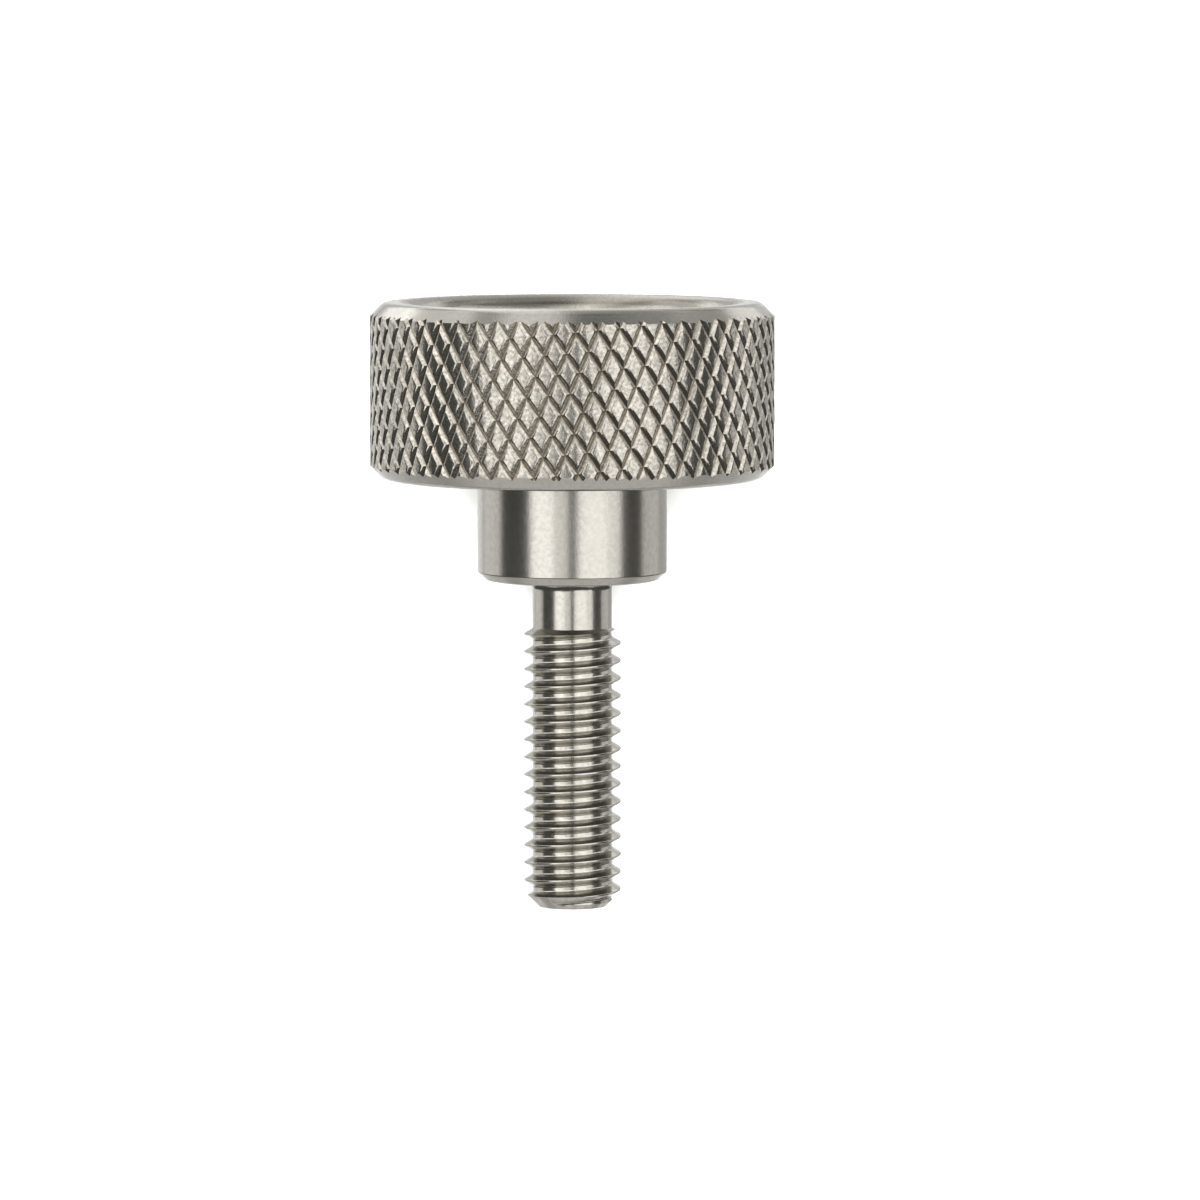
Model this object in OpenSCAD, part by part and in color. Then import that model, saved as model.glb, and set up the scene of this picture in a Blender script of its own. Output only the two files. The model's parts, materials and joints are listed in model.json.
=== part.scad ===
// Knurled thumb screw: one turned piece with a recessed round head, a plain collar,
// an undercut neck and a metric threaded shank, lying on its side as it rests on a table.

/* [Head] */
// Diameter over the knurling
head_d = 16; // [14:0.5:20]
// Thickness of the knurled head
head_h = 7; // [5:0.5:10]
// 45 degree chamfer on both rims of the head
head_chamfer = 0.55; // [0.3:0.05:0.9]

/* [Recess] */
// Diameter of the round recess in the top of the head
recess_d = 12.2; // [8:0.2:12.4]
// Depth of the recess, down to its flat floor
recess_depth = 2; // [1:0.25:3.5]
// 45 degree chamfer at the mouth of the recess
recess_chamfer = 0.3; // [0.1:0.05:0.35]

/* [Knurling] */
// Number of left-hand grooves round the head
left_grooves = 54; // [40:1:60]
// Angle of the left-hand grooves from the axis
left_lean = 35; // [20:1:40]
// Number of right-hand grooves round the head
right_grooves = 60; // [40:1:64]
// Angle of the right-hand grooves from the axis
right_lean = 24; // [20:1:40]
// Depth of a groove below the flat top of a diamond
groove_depth = 0.17; // [0.1:0.01:0.22]
// Angle between the two walls of a groove
groove_angle = 90; // [70:5:95]

/* [Collar] */
// Diameter of the plain collar under the head
collar_d = 7.5; // [6:0.25:10]
// Length of the collar, from the head to its bearing face
collar_h = 4; // [2:0.5:8]
// 45 degree chamfer round the bearing face
collar_chamfer = 0.3; // [0.1:0.05:0.6]

/* [Shank] */
// Length of the shank, from the bearing face to its tip
shank_h = 13; // [9:1:25]
// Diameter of the undercut neck, as deep as the thread
neck_d = 3.14; // [2.6:0.02:3.4]
// Length of the neck between the bearing face and the thread
neck_h = 2; // [1:0.25:4]
// Major diameter of the thread, over its flat crests
thread_d = 4; // [3.5:0.5:5]
// Distance from one thread crest to the next
thread_pitch = 0.7; // [0.6:0.05:1]
// 45 degree chamfer at the tip
tip_chamfer = 0.57; // [0.3:0.01:0.8]

/* [Hidden] */
$fn = 120;

// The screw is drawn standing on its tip, with its axis on Z.
head_base = shank_h + collar_h;
head_top = head_base + head_h;
head_r = head_d / 2;
recess_r = recess_d / 2;
collar_r = collar_d / 2;
neck_r = neck_d / 2;
thread_r = thread_d / 2;
thread_top = shank_h - neck_h;
stock = 0.5;  // bar left outside the knurling, which the knurling takes away

// Thread, as a row of V-shaped ridges with 30 degree flanks and flat crests, each a whole
// turn of its own. It starts with a flank at the neck, and the tip's chamfer cuts it off.
flank = (thread_r - neck_r) * tan(30);
crest_flat = thread_pitch / 8;
highest_crest = thread_top - flank - crest_flat / 2;
whole_ridges = floor((highest_crest - crest_flat / 2 - tip_chamfer) / thread_pitch);
lowest_crest = highest_crest - whole_ridges * thread_pitch;

// Knurling. A place on it is given by two counts: how many left-hand grooves and how many
// right-hand grooves have been passed, so grooves lie at whole numbers. Going once round
// passes all the grooves; going up by one millimetre passes left_rate or right_rate of them.
knurl_base = head_base + head_chamfer;
left_rate = left_grooves * tan(left_lean) / (PI * head_d);
right_rate = right_grooves * tan(right_lean) / (PI * head_d);
cross_rate = left_grooves * right_rate + right_grooves * left_rate;
half_groove = groove_depth * tan(groove_angle / 2);
left_edge = half_groove * left_grooves / (PI * head_d * cos(left_lean));
right_edge = half_groove * right_grooves / (PI * head_d * cos(right_lean));
root_r = head_r - groove_depth;

// Diamonds in each strip between two left-hand grooves, enough to pass both rims
cells = ceil(((head_h + 2 * stock) * cross_rate + left_grooves + right_grooves) / left_grooves);
spare = ceil(right_grooves / left_grooves);
line = cells + spare + 1;

// The screw lies on one diamond at the lower rim of its knurling and on its lowest whole crest.
lie_tilt = atan2(head_r - thread_r, knurl_base - lowest_crest + crest_flat / 2);
lie_height = head_r * cos(lie_tilt) - knurl_base * sin(lie_tilt);
far_end = head_top * cos(lie_tilt) + (head_r - head_chamfer) * sin(lie_tilt);
near_end = -(thread_r - tip_chamfer) * sin(lie_tilt);

// Point at radius r where the counts of left-hand and right-hand grooves are a and b.
// The middle of a diamond, at a half of each, lies on the rim that touches the table.
function knurl_point(r, a, b) =
    let (
        left = a - 0.5,
        right = b - 0.5,
        turn = 90 + 360 * (right_rate * left + left_rate * right) / cross_rate,
        rise = (right_grooves * left - left_grooves * right) / cross_rate
    )
    [r * cos(turn), r * sin(turn), knurl_base + rise];

// First right-hand groove that starts strip i, just above the head
function first_groove(i) =
    floor((right_grooves * i - cross_rate * (head_top + stock - knurl_base)) / left_grooves);

// Index of the crossing of left-hand groove i and right-hand groove j
function crossing(i, j) = (i % left_grooves) * line + j - first_groove(i) + spare;

// Index of corner c of the flat top of diamond k in strip i
function land(i, k, c) = left_grooves * line + 4 * (i * cells + k) + c;

// Outline of the turned piece on one side of its axis, from one ridge below the tip, which
// the tip's cone takes away, up to the recess floor
function turned_outline() = [
    [0, lowest_crest - 3 * thread_pitch],
    for (i = [-2 : whole_ridges])
        let (crest = lowest_crest + i * thread_pitch)
        each [
            [neck_r, crest - crest_flat / 2 - flank],
            [thread_r, crest - crest_flat / 2],
            [thread_r, crest + crest_flat / 2],
            [neck_r, crest + crest_flat / 2 + flank]
        ],
    [neck_r, shank_h],
    [collar_r - collar_chamfer, shank_h],
    [collar_r, shank_h + collar_chamfer],
    [collar_r, head_base],
    [head_r - head_chamfer, head_base],
    [head_r + stock, knurl_base + stock],
    [head_r + stock, head_top - head_chamfer - stock],
    [head_r - head_chamfer, head_top],
    [recess_r + recess_chamfer, head_top],
    [recess_r, head_top - recess_chamfer],
    [recess_r, head_top - recess_depth],
    [0, head_top - recess_depth],
];

// Everything inside the tip's chamfer and face
module tip_form() {
    tip_r = thread_r - tip_chamfer;
    cylinder(h = head_top + stock, r1 = tip_r, r2 = tip_r + head_top + stock);
}

// Everything inside the knurled surface: the ring of diamonds, closed by a long cone
// below that clears the collar and shank, and by a short one above the head.
module knurl_form() {
    crossings = [
        for (i = [0 : left_grooves - 1], k = [-spare : cells])
            knurl_point(root_r, i, first_groove(i) + k)
    ];
    lands = [
        for (i = [0 : left_grooves - 1], k = [0 : cells - 1])
            let (
                j = first_groove(i) + k,
                a = [i + left_edge, i + 1 - left_edge],
                b = [j + right_edge, j + 1 - right_edge]
            )
            each [
                knurl_point(head_r, a[0], b[0]),
                knurl_point(head_r, a[1], b[0]),
                knurl_point(head_r, a[1], b[1]),
                knurl_point(head_r, a[0], b[1])
            ]
    ];
    above = len(crossings) + len(lands);
    below = above + 1;
    diamonds = [
        for (i = [0 : left_grooves - 1], k = [0 : cells - 1])
            let (
                j = first_groove(i) + k,
                root = [crossing(i, j), crossing(i + 1, j), crossing(i + 1, j + 1), crossing(i, j + 1)],
                top = [for (c = [0 : 3]) land(i, k, c)]
            )
            each concat(
                [top],
                [for (c = [0 : 3]) [root[c], root[(c + 1) % 4], top[(c + 1) % 4], top[c]]]
            )
    ];
    caps = [
        for (i = [0 : left_grooves - 1])
            let (
                first = first_groove(i),
                next = first_groove(i + 1)
            )
            each concat(
                [[crossing(i + 1, first), crossing(i, first), above]],
                [[crossing(i, first + cells), crossing(i + 1, first + cells), below]],
                [for (j = [first : 1 : next - 1]) [crossing(i + 1, j + 1), crossing(i + 1, j), above]],
                [for (j = [first : 1 : next - 1])
                    [crossing(i + 1, j + cells), crossing(i + 1, j + cells + 1), below]]
            )
    ];
    polyhedron(
        points = concat(crossings, lands, [[0, 0, head_top + head_r], [0, 0, -head_top]]),
        faces = concat(diamonds, caps)
    );
}

// Turns the upright screw over onto its side, with the middle of its length at the origin
module laid_down() {
    translate([0, -(far_end + near_end) / 2, lie_height])
        rotate([lie_tilt - 90, 0, 0])
            children();
}

module thumb_screw() {
    color("#b9b5ab")
        laid_down()
            intersection() {
                rotate_extrude()
                    polygon(turned_outline());
                knurl_form();
                tip_form();
            }
}

thumb_screw();
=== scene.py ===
import json
import math

import bmesh
import bpy
from mathutils import Matrix, Vector


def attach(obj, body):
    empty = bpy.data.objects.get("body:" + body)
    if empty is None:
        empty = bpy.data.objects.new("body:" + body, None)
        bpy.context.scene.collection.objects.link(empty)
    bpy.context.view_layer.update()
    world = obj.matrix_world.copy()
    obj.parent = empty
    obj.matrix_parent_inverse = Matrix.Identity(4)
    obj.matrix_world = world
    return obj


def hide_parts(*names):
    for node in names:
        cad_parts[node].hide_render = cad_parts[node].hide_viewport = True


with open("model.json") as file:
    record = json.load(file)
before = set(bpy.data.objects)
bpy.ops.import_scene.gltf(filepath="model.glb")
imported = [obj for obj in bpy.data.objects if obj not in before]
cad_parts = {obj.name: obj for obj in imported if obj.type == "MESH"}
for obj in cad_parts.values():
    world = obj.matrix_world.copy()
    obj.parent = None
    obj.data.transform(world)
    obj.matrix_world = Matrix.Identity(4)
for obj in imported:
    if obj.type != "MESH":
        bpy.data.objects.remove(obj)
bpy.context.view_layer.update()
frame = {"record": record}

# ---- The bar and how it lies ----
# The thumb screw is turned in one piece from round stainless bar. It is drawn in
# millimetres as it stands in the lathe: axis on Z, tip down, bearing face at Z = 0,
# and -Y is the side that faces up once the screw is laid down.
MILLIMETRE = 0.001
mounts = {mount["name"]: mount for mount in frame["record"]["mounts"]}
towards_head = -Vector(mounts["thread"]["axis"]).normalized()
on_the_axis = Vector(mounts["thread"]["pos_m"])
on_the_face = Vector(mounts["bearing_face"]["pos_m"])
seat = on_the_axis + towards_head * (on_the_face - on_the_axis).dot(towards_head)
lean_back = math.atan2(towards_head.z, towards_head.y) - math.pi / 2
laid_down = Matrix.Translation(seat) @ Matrix.Rotation(lean_back, 4, "X")

# ---- Knurled head ----
# Two wheels roll crossed V grooves into the head, 54 left-hand and 60 right-hand ones,
# and leave flat diamonds between them. Both rims are chamfered through the knurling, and
# tumbling rounds the chamfers over into the flat rings inside them.
head_r = 8.0
head_base, head_top = 4.0, 11.0
head_chamfer = 0.55
left_grooves, left_lean = 54, math.radians(35)
right_grooves, right_lean = 60, math.radians(24)
# Two grooves cross here, just above the head on the side that faces up.
first_crossing = Vector((0.02, 0, 11.69))
groove_depth = 0.125
# Each step goes this far in from the bottom of a groove, and rises this far.
groove_wall = [(0.12, 0.1)]
diamond_edge = [(0.02, 0.012), (0.03, 0.008), (0.1, 0.005)]
rim_rounding = 0.45
flat_rim = 0.3
# Points closer than a seam are merged, and a point within a hair of a cut lies on it.
seam = 0.0005
hair = 0.0001


def rounded(corners, radii, steps=4, margin=0.02):
    """An outline of (radius, height) points with its inner corners rounded. A point just
    before and after each arc keeps the straight stretches from shading as if they bent."""
    outline = [Vector(corners[0])]
    for before, corner, after, radius in zip(corners, corners[1:], corners[2:], radii):
        corner = Vector(corner)
        back = (Vector(before) - corner).normalized()
        onward = (Vector(after) - corner).normalized()
        half = back.angle(onward) / 2
        reach = radius / math.tan(half)
        middle = corner + (back + onward).normalized() * radius / math.sin(half)
        outline.append(corner + back * (reach + margin))
        for step in range(steps + 1):
            share = step / steps
            chord = (corner + back * reach).lerp(corner + onward * reach, share) - middle
            outline.append(middle + chord.normalized() * radius)
        outline.append(corner + onward * (reach + margin))
    return outline + [Vector(corners[-1])]


def wrap(strip, radius):
    """Rolls a flat strip round the axis. X runs round the bar and Y is how far it stands out."""
    for point in strip.verts:
        turn = point.co.x / radius
        out = radius + point.co.y
        point.co = (out * math.sin(turn), -out * math.cos(turn), point.co.z)


def rim(part, upper):
    """The open edges round a part's upper or lower end."""
    heights = [v.co.z for v in part.verts]
    middle = (min(heights) + max(heights)) / 2
    return [e for e in part.edges if e.is_boundary and (e.verts[0].co.z > middle) == upper]


def in_order(part):
    """Sorts a part's edges and faces by their points, because extruding and spinning make
    them in another order each time, and the screw has to come out the same."""
    part.verts.index_update()
    points = len(part.verts)

    def rank(member):
        number = 0
        for index in sorted(v.index for v in member.verts)[:3]:
            number = number * points + index
        return number

    part.edges.sort(key=rank)
    part.faces.sort(key=rank)


def draw_on(part, edges, outline):
    """Draws a part's surface on from an open rim, through rings of each radius and height."""
    for radius, height in outline:
        made = bmesh.ops.extrude_edge_only(part, edges=edges)["geom"]
        for point in [g for g in made if isinstance(g, bmesh.types.BMVert)]:
            spread = radius / math.hypot(point.co.x, point.co.y)
            point.co = (point.co.x * spread, point.co.y * spread, height)
        edges = [g for g in made if isinstance(g, bmesh.types.BMEdge) and g.is_boundary]
    in_order(part)


round_head = 2 * math.pi * head_r
crossing = math.sin(left_lean + right_lean)
along_right = round_head / left_grooves * math.cos(left_lean) / crossing
along_left = round_head / right_grooves * math.cos(right_lean) / crossing
step_right = Vector((along_right * math.sin(right_lean), 0, along_right * math.cos(right_lean)))
step_left = Vector((along_left * math.sin(left_lean), 0, -along_left * math.cos(left_lean)))
sectors = math.gcd(left_grooves, right_grooves)
columns = left_grooves // sectors
rows = right_grooves // sectors + math.ceil((head_top - head_base) / -step_left.z) + 2
width, fall = step_right * columns, step_left * rows
corner = first_crossing - Vector((0, groove_depth, 0))

# The strip is a grid one unit wide, drawn out until its cells are the diamonds.
flat = Matrix.Translation(corner + (width + fall) / 2)
for axis, side in enumerate((width, fall, Vector((0, 1, 0)))):
    for i in range(3):
        flat[i][axis] = side[i]

knurl = bmesh.new()
bmesh.ops.create_grid(knurl, x_segments=columns, y_segments=rows, size=0.5, matrix=flat)
diamonds = list(knurl.faces)
for inwards, rise in groove_wall + diamond_edge:
    bmesh.ops.inset_individual(
        knurl, faces=diamonds, thickness=inwards, depth=rise, use_even_offset=True
    )
bmesh.ops.subdivide_edges(knurl, edges=knurl.edges, cuts=1, use_grid_fill=True)
for edge, way in ((head_base + head_chamfer, -1), (head_top - head_chamfer, 1)):
    bmesh.ops.bisect_plane(
        knurl, geom=knurl.verts[:] + knurl.edges[:] + knurl.faces[:], dist=hair,
        plane_co=(0, 0, edge), plane_no=(0, 1, way), clear_outer=True,
    )
wrap(knurl, head_r)
bmesh.ops.spin(
    knurl, geom=knurl.verts[:] + knurl.edges[:] + knurl.faces[:], cent=(0, 0, 0),
    axis=(0, 0, 1), angle=2 * math.pi * (sectors - 1) / sectors, steps=sectors - 1,
    use_duplicate=True,
)
bmesh.ops.remove_doubles(knurl, verts=knurl.verts, dist=seam)
for upper, end, way in ((True, head_top, -1), (False, head_base, 1)):
    draw_on(knurl, rim(knurl, upper), rounded(
        [(head_r, end + way * head_chamfer), (head_r - head_chamfer, end),
         (head_r - head_chamfer - flat_rim, end)], [rim_rounding],
    )[1:])


def from_hex(code):
    """A colour from its sRGB hex code, turned to linear."""
    parts = [int(code[i:i + 2], 16) / 255 for i in (1, 3, 5)]
    return [*(c / 12.92 if c < 0.04045 else ((c + 0.055) / 1.055) ** 2.4 for c in parts), 1]


def add(tree, kind, settings={}, **links):
    """Adds a node with these settings, and links or sets its inputs. An input goes by its
    name, with _ for a space, or by its number, as in i0."""
    node = tree.nodes.new(kind)
    for name, value in settings.items():
        setattr(node, name, value)
    for name, value in links.items():
        socket = node.inputs[int(name[1:]) if name[1:].isdigit() else name.replace("_", " ")]
        if isinstance(value, bpy.types.NodeSocket):
            tree.links.new(value, socket)
        else:
            socket.default_value = value
    return node


def stainless(name, dull, bright, roughness, blotch, grain, grain_height):
    """Bare stainless steel, in the screw's own millimetres. Its colour and roughness waver
    between two values in blotches of one size, and its surface has grain of another."""
    material = bpy.data.materials.new(name)
    material.use_nodes = True
    tree = material.node_tree
    tree.nodes.clear()
    place = add(tree, "ShaderNodeTexCoord").outputs["Object"]
    place = add(
        tree, "ShaderNodeMapping", {"vector_type": "TEXTURE"}, Vector=place,
        Location=seat, Rotation=(lean_back, 0, 0), Scale=(MILLIMETRE,) * 3,
    ).outputs["Vector"]
    blotches = add(
        tree, "ShaderNodeTexNoise", Vector=place, Scale=1 / blotch, Detail=3.0, Roughness=0.6
    ).outputs["Fac"]
    faint, strong = 0.35, 0.65
    spread = add(
        tree, "ShaderNodeMapRange", Value=blotches, From_Min=faint, From_Max=strong
    ).outputs["Result"]
    colour = add(
        tree, "ShaderNodeMix", {"data_type": "RGBA"}, i0=spread, i6=from_hex(dull),
        i7=from_hex(bright),
    ).outputs[2]
    sheen = add(
        tree, "ShaderNodeMapRange", Value=blotches, From_Min=faint, From_Max=strong,
        To_Min=roughness[1], To_Max=roughness[0],
    ).outputs["Result"]
    grains = add(
        tree, "ShaderNodeTexNoise", Vector=place, Scale=1 / grain, Detail=2.0, Roughness=0.7
    ).outputs["Fac"]
    bump = add(
        tree, "ShaderNodeBump", Height=grains, Distance=grain_height * MILLIMETRE, Strength=1.0
    ).outputs["Normal"]
    shader = add(
        tree, "ShaderNodeBsdfPrincipled", Base_Color=colour, Metallic=1.0, Roughness=sheen,
        Normal=bump,
    )
    add(tree, "ShaderNodeOutputMaterial", Surface=shader.outputs["BSDF"])
    return material, tree, place, shader


def distance_out(tree, place):
    """How far each place is from the axis."""
    across = add(
        tree, "ShaderNodeVectorMath", {"operation": "MULTIPLY"}, i0=place, i1=(1, 1, 0)
    ).outputs["Vector"]
    return add(
        tree, "ShaderNodeVectorMath", {"operation": "LENGTH"}, i0=across
    ).outputs["Value"]


# Rolled stainless: the wheels press the bar's skin into the grooves and leave it torn and
# speckled. The bottom of each groove is painted brown, painted shade for the shade deep in
# the groove. Real specks are some 0.05 mm across, and are drawn at 0.13 mm, as coarse as they
# need to show.
groove_floor = head_r - groove_depth
painted_shade_height = 0.04
rolled, tree, place, shader = stainless(
    "rolled_stainless_painted_groove_shade", "#938e84", "#bab6ae", (0.17, 0.27), 0.14, 0.13, 0.008
)
# Up to this height above the groove floor the colour turns brown: painted shade in the bottom of
# each groove.
unshaded = add(
    tree, "ShaderNodeMapRange", Value=distance_out(tree, place), From_Min=groove_floor,
    From_Max=groove_floor + painted_shade_height,
).outputs["Result"]
colour = shader.inputs["Base Color"].links[0].from_socket
colour = add(
    tree, "ShaderNodeMix", {"data_type": "RGBA"}, i0=unshaded, i6=from_hex("#8a8276"), i7=colour
).outputs[2]
tree.links.new(colour, shader.inputs["Base Color"])

# ---- Thread ----
# Right-hand M4 x 0.7 thread, cut a little under 4 mm, as real ones are, with sharp crests
# and a round-cornered root. It runs in from the neck over a steep shoulder and runs out
# through the chamfer at the tip.
thread_r = 1.93
thread_pitch = 0.7
root_r = 1.565
crest_flat = 0.06
root_rounding, crest_rounding = 0.09, 0.015
flank_angle = math.radians(30)
shank_length = 13.0
tip_chamfer = 0.57
shoulder = -2.1
crest_on_left = -2.155
thread_steps = 72

# Spare turns run past both ends, where the shoulder and the chamfer cut them off. A crest
# climbs half a pitch on its way from the left side to the right.
spare_turns = 2
round_thread = 2 * math.pi * thread_r
right_side = round_thread / 4
flank = (thread_r - root_r) * math.tan(flank_angle)
crest_on_right = crest_on_left + thread_pitch * (spare_turns + 0.5)
turns = math.ceil((shank_length + crest_on_right) / thread_pitch) + spare_turns
ridge = rounded(
    [(-(thread_r - root_r), thread_pitch / 2), (-(thread_r - root_r), crest_flat / 2 + flank),
     (0, crest_flat / 2), (0, -crest_flat / 2),
     (-(thread_r - root_r), -crest_flat / 2 - flank), (-(thread_r - root_r), -thread_pitch / 2)],
    [root_rounding, crest_rounding, crest_rounding, root_rounding], steps=2, margin=0.004,
)
line = [
    (out, crest_on_right - thread_pitch * turn + along)
    for turn in range(turns) for out, along in ridge[:-1]
]

# The flat thread is a grid. Each row of it runs once round and climbs one pitch.
thread = bmesh.new()
bmesh.ops.create_grid(thread, x_segments=thread_steps, y_segments=len(line) - 1)
for index, point in enumerate(thread.verts):
    row, step = divmod(index, thread_steps + 1)
    out, height = line[row]
    share = step / thread_steps
    point.co = (right_side + round_thread * share, out, height + thread_pitch * share)
for on_the_cut, outwards in (
    ((0, 0, shoulder), (0, 1, 1 / math.tan(flank_angle))),
    ((0, 0, tip_chamfer - shank_length), (0, 1, -1)),
):
    cut_edges = bmesh.ops.bisect_plane(
        thread, geom=thread.verts[:] + thread.edges[:] + thread.faces[:], dist=hair,
        plane_co=on_the_cut, plane_no=outwards, clear_outer=True,
    )["geom_cut"]

# The chamfer is flat while the strip is: it fills from the cut ridges down to the tip's edge.
cut_edges = [g for g in cut_edges if isinstance(g, bmesh.types.BMEdge) and g.is_boundary]
ends = sorted({v for e in cut_edges for v in e.verts}, key=lambda v: v.co.x)
tip_line = [
    thread.verts.new((
        ends[0].co.x + round_thread * step / thread_steps, -tip_chamfer, -shank_length
    ))
    for step in range(thread_steps + 1)
]
outline = [ends[0]] + tip_line + [ends[-1]]
cut_edges += [thread.edges.new(pair) for pair in zip(outline, outline[1:])]
bmesh.ops.triangle_fill(thread, edges=cut_edges, use_beauty=True, normal=(0, 1, -1))
wrap(thread, thread_r)
bmesh.ops.remove_doubles(thread, verts=thread.verts, dist=seam)
draw_on(thread, rim(thread, False), [(seam / 2, -shank_length)])
bmesh.ops.remove_doubles(thread, verts=thread.verts, dist=seam)
cut_points = dict.fromkeys(v for e in rim(thread, True) for v in e.verts)
bmesh.ops.remove_doubles(thread, verts=list(cut_points), dist=crest_flat / 2)

# Stainless cut by a thread chaser: bright flanks and roots with fine scratches that run
# along the thread, so they climb one pitch a turn. They are 0.06 mm apart, coarser than
# real ones, so that they show.
cut, tree, place, shader = stainless(
    "cut_thread_stainless", "#b0aca3", "#c0bdb6", (0.19, 0.24), 0.3, 0.12, 0.003
)


def tool_marks(tree, place, shader, spacing, depth, climb):
    """Adds the tool's marks over a turned face: lines round the axis, this far apart and
    deep, that climb this far in a turn."""
    # A millimetre out counts for more than one up, or 45 degree slopes would have no lines.
    radius_counts_for = 1.7
    ways = add(tree, "ShaderNodeSeparateXYZ", Vector=place).outputs
    turn = add(
        tree, "ShaderNodeMath", {"operation": "ARCTAN2"}, i0=ways["Y"], i1=ways["X"]
    ).outputs["Value"]
    level = add(
        tree, "ShaderNodeMath", {"operation": "MULTIPLY_ADD"}, i0=turn,
        i1=-climb / (2 * math.pi), i2=ways["Z"],
    ).outputs["Value"]
    passed = add(
        tree, "ShaderNodeMath", {"operation": "MULTIPLY_ADD"}, i0=distance_out(tree, place),
        i1=radius_counts_for, i2=level,
    ).outputs["Value"]
    lines = add(
        tree, "ShaderNodeTexNoise", {"noise_dimensions": "1D"}, W=passed, Scale=1 / spacing,
        Detail=1.0,
    ).outputs["Fac"]
    marked = add(
        tree, "ShaderNodeBump", Height=lines, Distance=depth * MILLIMETRE, Strength=1.0,
        Normal=shader.inputs["Normal"].links[0].from_socket,
    ).outputs["Normal"]
    tree.links.new(marked, shader.inputs["Normal"])


tool_marks(tree, place, shader, 0.06, 0.0008, thread_pitch)

# ---- Turned faces ----
# The recess, the underside of the head, the collar, the bearing face and the neck are
# plain turned faces. The recess has a broad rounded lip and the tool's corner radius, the
# collar a small broken chamfer, and the neck runs into the bearing face over a fillet.
recess_r, recess_depth = 6.05, 2.0
recess_lip = 0.9
collar_r, collar_chamfer = 3.75, 0.32
neck_r = 1.57
broken_edge = 0.06
face_rounding = 0.15
tool_radius = 0.25
neck_fillet = 0.36
# Flat rings of these widths are left open between the turned faces, to be closed later.
top_ring, under_ring, face_ring = 0.05, 0.2, collar_chamfer
around = 240


def turned(outline):
    """A surface turned round the axis from an open outline of (radius, height) points."""
    part = bmesh.new()
    line = [part.verts.new((radius, 0, height)) for radius, height in outline]
    edges = [part.edges.new(pair) for pair in zip(line, line[1:])]
    bmesh.ops.spin(
        part, geom=line + edges, cent=(0, 0, 0), axis=(0, 0, 1), angle=2 * math.pi,
        steps=around, use_merge=True,
    )
    bmesh.ops.remove_doubles(part, verts=part.verts, dist=seam)
    in_order(part)
    return part


flat_edge = head_r - head_chamfer - flat_rim
recess = turned(rounded(
    [(flat_edge - top_ring, head_top), (recess_r, head_top),
     (recess_r, head_top - recess_depth), (0, head_top - recess_depth)],
    [recess_lip, tool_radius], steps=8,
))
face_edge = collar_r - 2 * collar_chamfer
collar = turned(rounded(
    [(flat_edge - under_ring, head_base), (collar_r, head_base), (collar_r, collar_chamfer),
     (collar_r - collar_chamfer, 0), (face_edge, 0)],
    [tool_radius / 2, broken_edge, face_rounding],
))
draw_on(thread, rim(thread, True), rounded(
    [(neck_r, shoulder + flank), (neck_r, 0), (face_edge - face_ring, 0)],
    [neck_fillet],
))

# Fine-turned stainless, tumbled after turning: soft satin bands that run along the collar,
# with faint rings where the tool passed. The real feed is finer, so the rings are drawn at
# 0.12 mm, as coarse as they need to be to show.
feed, ring_depth = 0.12, 0.0016
fine, tree, place, shader = stainless(
    "fine_turned_stainless", "#b1ada5", "#b6b3ac", (0.19, 0.24), 0.18, 0.09, 0.0024
)
tool_marks(tree, place, shader, feed, ring_depth, 0)

# Bored stainless for the recess, its lip, wall and floor: duller than the outside, with the
# same rings, and painted a shade darker than the outside as painted shade in the recess.
bored_shaded, tree, place, shader = stainless(
    "bored_stainless_painted_shade", "#9c988f", "#a5a198", (0.22, 0.28), 0.18, 0.09, 0.0024
)
tool_marks(tree, place, shader, feed, ring_depth, 0)

# ---- One piece ----
# The knurling, thread and turned faces are all one skin round one bar. The flat rings
# between them, at the top of the head, under it and on the bearing face, close it.
sharp_corner = math.radians(35)
# A chamfer leans 45 degrees, so its normal is 0.7 along the axis and 0.7 out from it.
chamfer_leans = 0.6
# The knurling ends a little under its grooves, and the bored finish with its painted shade on top
# of the lip.
knurling_r = groove_floor - 0.2 * groove_depth
bored_shaded_r = recess_r + 0.8 * recess_lip

screw = bmesh.new()
for part in (knurl, thread, recess, collar):
    sheet = bpy.data.meshes.new("sheet")
    part.to_mesh(sheet)
    screw.from_mesh(sheet)
    bpy.data.meshes.remove(sheet)
    part.free()
for height in (head_top, head_base, 0):
    bmesh.ops.triangle_fill(screw, edges=[
        e for e in screw.edges
        if e.is_boundary and all(abs(v.co.z - height) < seam for v in e.verts)
    ], use_beauty=True)
bmesh.ops.recalc_face_normals(screw, faces=screw.faces)
for edge in screw.edges:
    edge.smooth = edge.calc_face_angle(0) < sharp_corner
finishes = [fine, rolled, cut, bored_shaded]
for face in screw.faces:
    face.smooth = True
    place = face.calc_center_median()
    out = math.hypot(place.x, place.y)
    if out > knurling_r and head_base < place.z < head_top:
        outwards = Vector(place.xy).dot(face.normal.xy) / out
        leaning = min(abs(face.normal.z), abs(outwards)) > chamfer_leans
        face.material_index = finishes.index(fine if leaning else rolled)
    elif place.z < shoulder:
        face.material_index = finishes.index(cut)
    # Faces in the recess and over its lip take the bored finish, painted darker as painted shade.
    elif place.z > head_base and out < bored_shaded_r:
        face.material_index = finishes.index(bored_shaded)
bmesh.ops.transform(
    screw, matrix=laid_down @ Matrix.Scale(MILLIMETRE, 4), verts=screw.verts
)
mesh = bpy.data.meshes.new("thumb_screw")
screw.to_mesh(mesh)
screw.free()
for finish in finishes:
    mesh.materials.append(finish)
thumb_screw = bpy.data.objects.new("turned_thumb_screw", mesh)
bpy.context.scene.collection.objects.link(thumb_screw)
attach(thumb_screw, "root")
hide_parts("thumb_screw")

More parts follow.
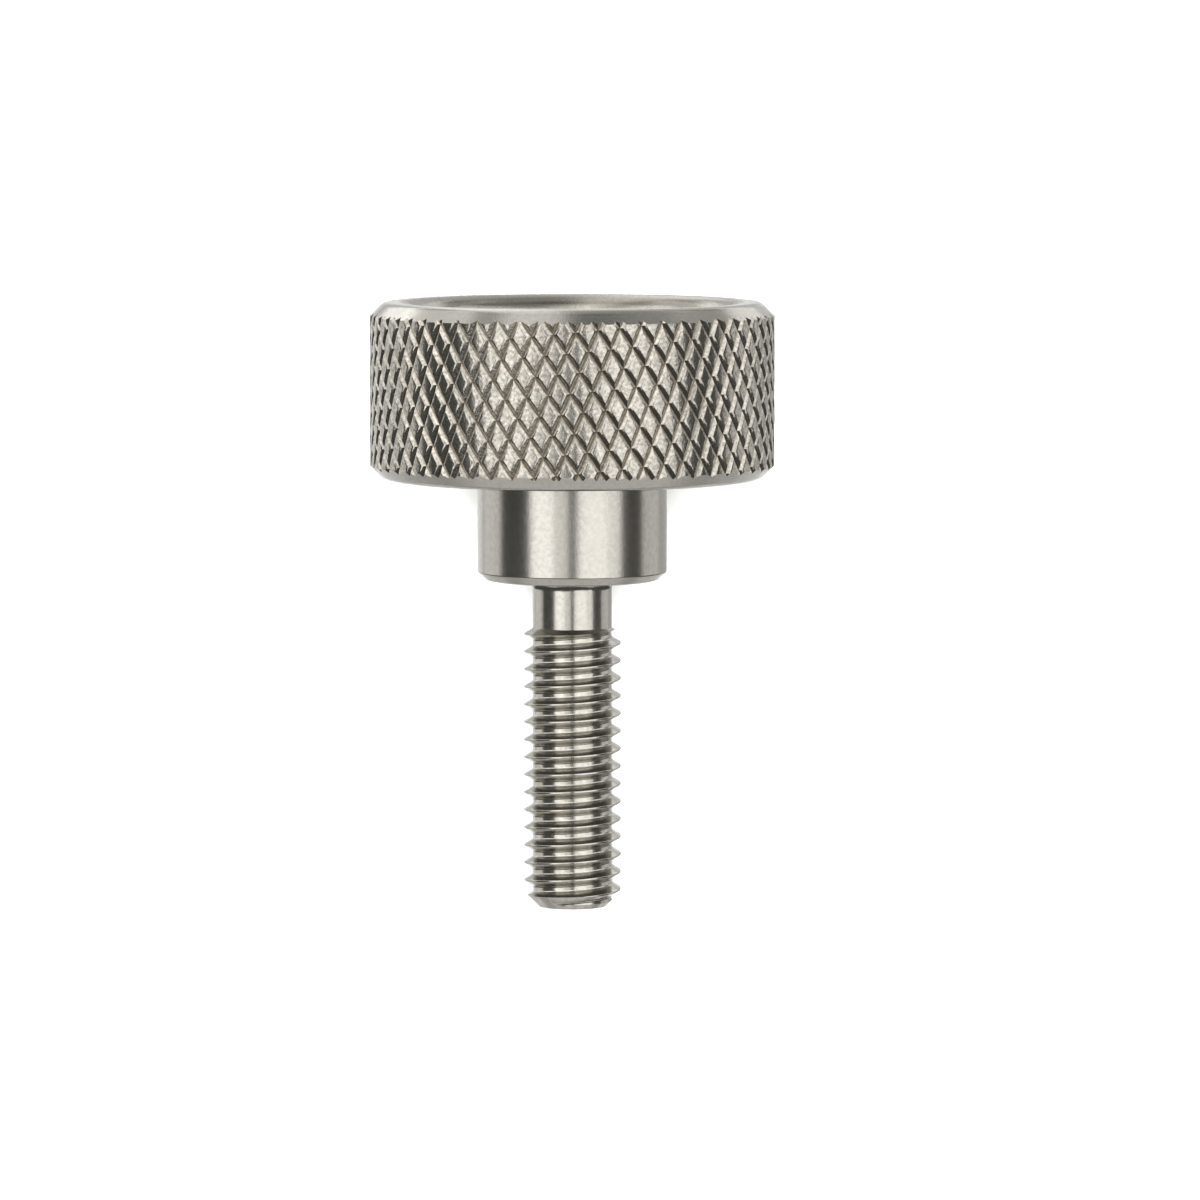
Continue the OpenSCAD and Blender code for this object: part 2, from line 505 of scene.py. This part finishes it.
# ---- Table ----
# A large white matt table top, which the screw lies on.
half_table = 1.5
top = bmesh.new()
bmesh.ops.create_grid(top, x_segments=1, y_segments=1, size=half_table)
sheet = bpy.data.meshes.new("table")
top.to_mesh(sheet)
top.free()
# Matt white laminate, with no gloss, so that the screw has no reflection in it.
laminate = bpy.data.materials.new("white_matt_laminate")
laminate.use_nodes = True
tree = laminate.node_tree
tree.nodes.clear()
shader = add(
    tree, "ShaderNodeBsdfPrincipled", Base_Color=from_hex("#f4f4f2"), Roughness=0.9,
    Specular_IOR_Level=0.0,
)
add(tree, "ShaderNodeOutputMaterial", Surface=shader.outputs["BSDF"])
sheet.materials.append(laminate)
table = bpy.data.objects.new("table", sheet)
table.visible_glossy = False
table.visible_shadow = False
bpy.context.scene.collection.objects.link(table)

# ---- Light ----
# Soft boxes and cards stand all round the screw, even below the level of the table, which
# the metal doesn't mirror, and between them it mirrors the dark studio. A broad lamp beside
# the camera lights the table alone, keeps it evenly white and hides the screw's soft shadow.


def soft_box(name, stand, sizes, radiance):
    """A lit panel of this width and length that shines along its own -Z."""
    light = bpy.data.lights.new(name, "AREA")
    light.shape = "RECTANGLE"
    light.size, light.size_y = sizes
    light.energy = radiance * math.pi * light.size * light.size_y
    lamp = bpy.data.objects.new(name, light)
    lamp.matrix_world = laid_down @ stand
    lamp.visible_camera = False
    bpy.context.scene.collection.objects.link(lamp)
    return lamp


def facing(turn, rise, distance):
    """Stands a panel this far from the screw, turned round its axis and raised to its head."""
    return (
        Matrix.Rotation(math.radians(turn), 4, "Z") @ Matrix.Rotation(math.radians(-rise), 4, "X")
        @ Matrix.Translation((0, -distance, 0)) @ Matrix.Rotation(math.pi / 2, 4, "X")
    )


def opening(degrees, distance):
    """The width of a panel that fills this angle from this distance."""
    return 2 * distance * math.tan(math.radians(degrees) / 2)


# Each card fills these turns round the screw's axis and these heights towards its head, in
# degrees, and has this radiance.
card_distance = 0.45
for name, first, last, low, high, radiance in (
    ("left_box", -53, -20, -16, 46, 1.95), ("middle_box", -20, -4, -16, 46, 1.25),
    ("right_box", 6, 45, -27, 46, 1.8), ("right_edge", 45, 62, -27, 46, 1.45),
    ("over_left", -60, -2, 47, 70, 0.7), ("over_right", 0, 60, 47, 70, 0.3),
    ("rear", 160, 200, 14, 58, 0.65),
    ("left_wing", -94, -62, 14, 52, 1.5), ("right_wing", 66, 110, 14, 50, 1.2),
    ("left_under", -138, -94, -12, 60, 0.95), ("right_under", 94, 130, -12, 10, 0.8),
    ("left_far", -168, -138, -12, 12, 0.95), ("left_rear", -157, -138, 14, 38, 1.7),
    ("right_far", 130, 168, -12, 16, 0.5), ("under", 168, 192, -25, 12, 1.0),
    ("right_back", 118, 138, 24, 60, 0.42), ("right_rear", 138, 157, 17, 38, 1.3),
    ("left_deep", -172, -148, -46, -12, 0.7),
    ("right_deep", 148, 172, -46, -12, 0.7), ("below_the_tip", -40, 40, -112, -76, 0.74),
    ("behind_the_tip", -40, 40, -137, -112, 0.4),
    ("left_head", -160, -20, 70, 88, 0.9), ("head", 150, 210, 60, 92, 0.38),
):
    lamp = soft_box(
        name, facing((first + last) / 2, (low + high) / 2, card_distance),
        (opening(last - first, card_distance), opening(high - low, card_distance)), radiance,
    )
    lamp.visible_diffuse = False
lamp_rise, lamp_distance, lamp_width, lamp_radiance = 4.7, 0.7, 0.35, 40.0
table_lamp = soft_box(
    "table_lamp", facing(0, lamp_rise, lamp_distance), (lamp_width, lamp_width), lamp_radiance
)
table_lamp.visible_glossy = False

room = bpy.data.worlds.new("room")
room.use_nodes = True
room.node_tree.nodes["Background"].inputs["Color"].default_value = from_hex("#555553")
bpy.context.scene.world = room
bpy.context.scene.view_settings.view_transform = "Standard"

# ---- Camera ----
# A long lens over the collar, level with the middle of the screw and a little to the right.
camera_back, camera_up, camera_side = 289.0, 23.6, 1.1
camera_dip = math.radians(4.83)
lens = bpy.data.cameras.new("camera")
lens.sensor_width, lens.lens = 36.0, 219.7
lens.clip_start, lens.clip_end = 0.01, 5.0
camera = bpy.data.objects.new("camera", lens)
bpy.context.scene.collection.objects.link(camera)
camera.matrix_world = (
    laid_down
    @ Matrix.Translation(Vector((camera_side, -camera_back, camera_up)) * MILLIMETRE)
    @ Matrix.Rotation(math.pi / 2 - camera_dip, 4, "X")
)
bpy.context.scene.camera = camera
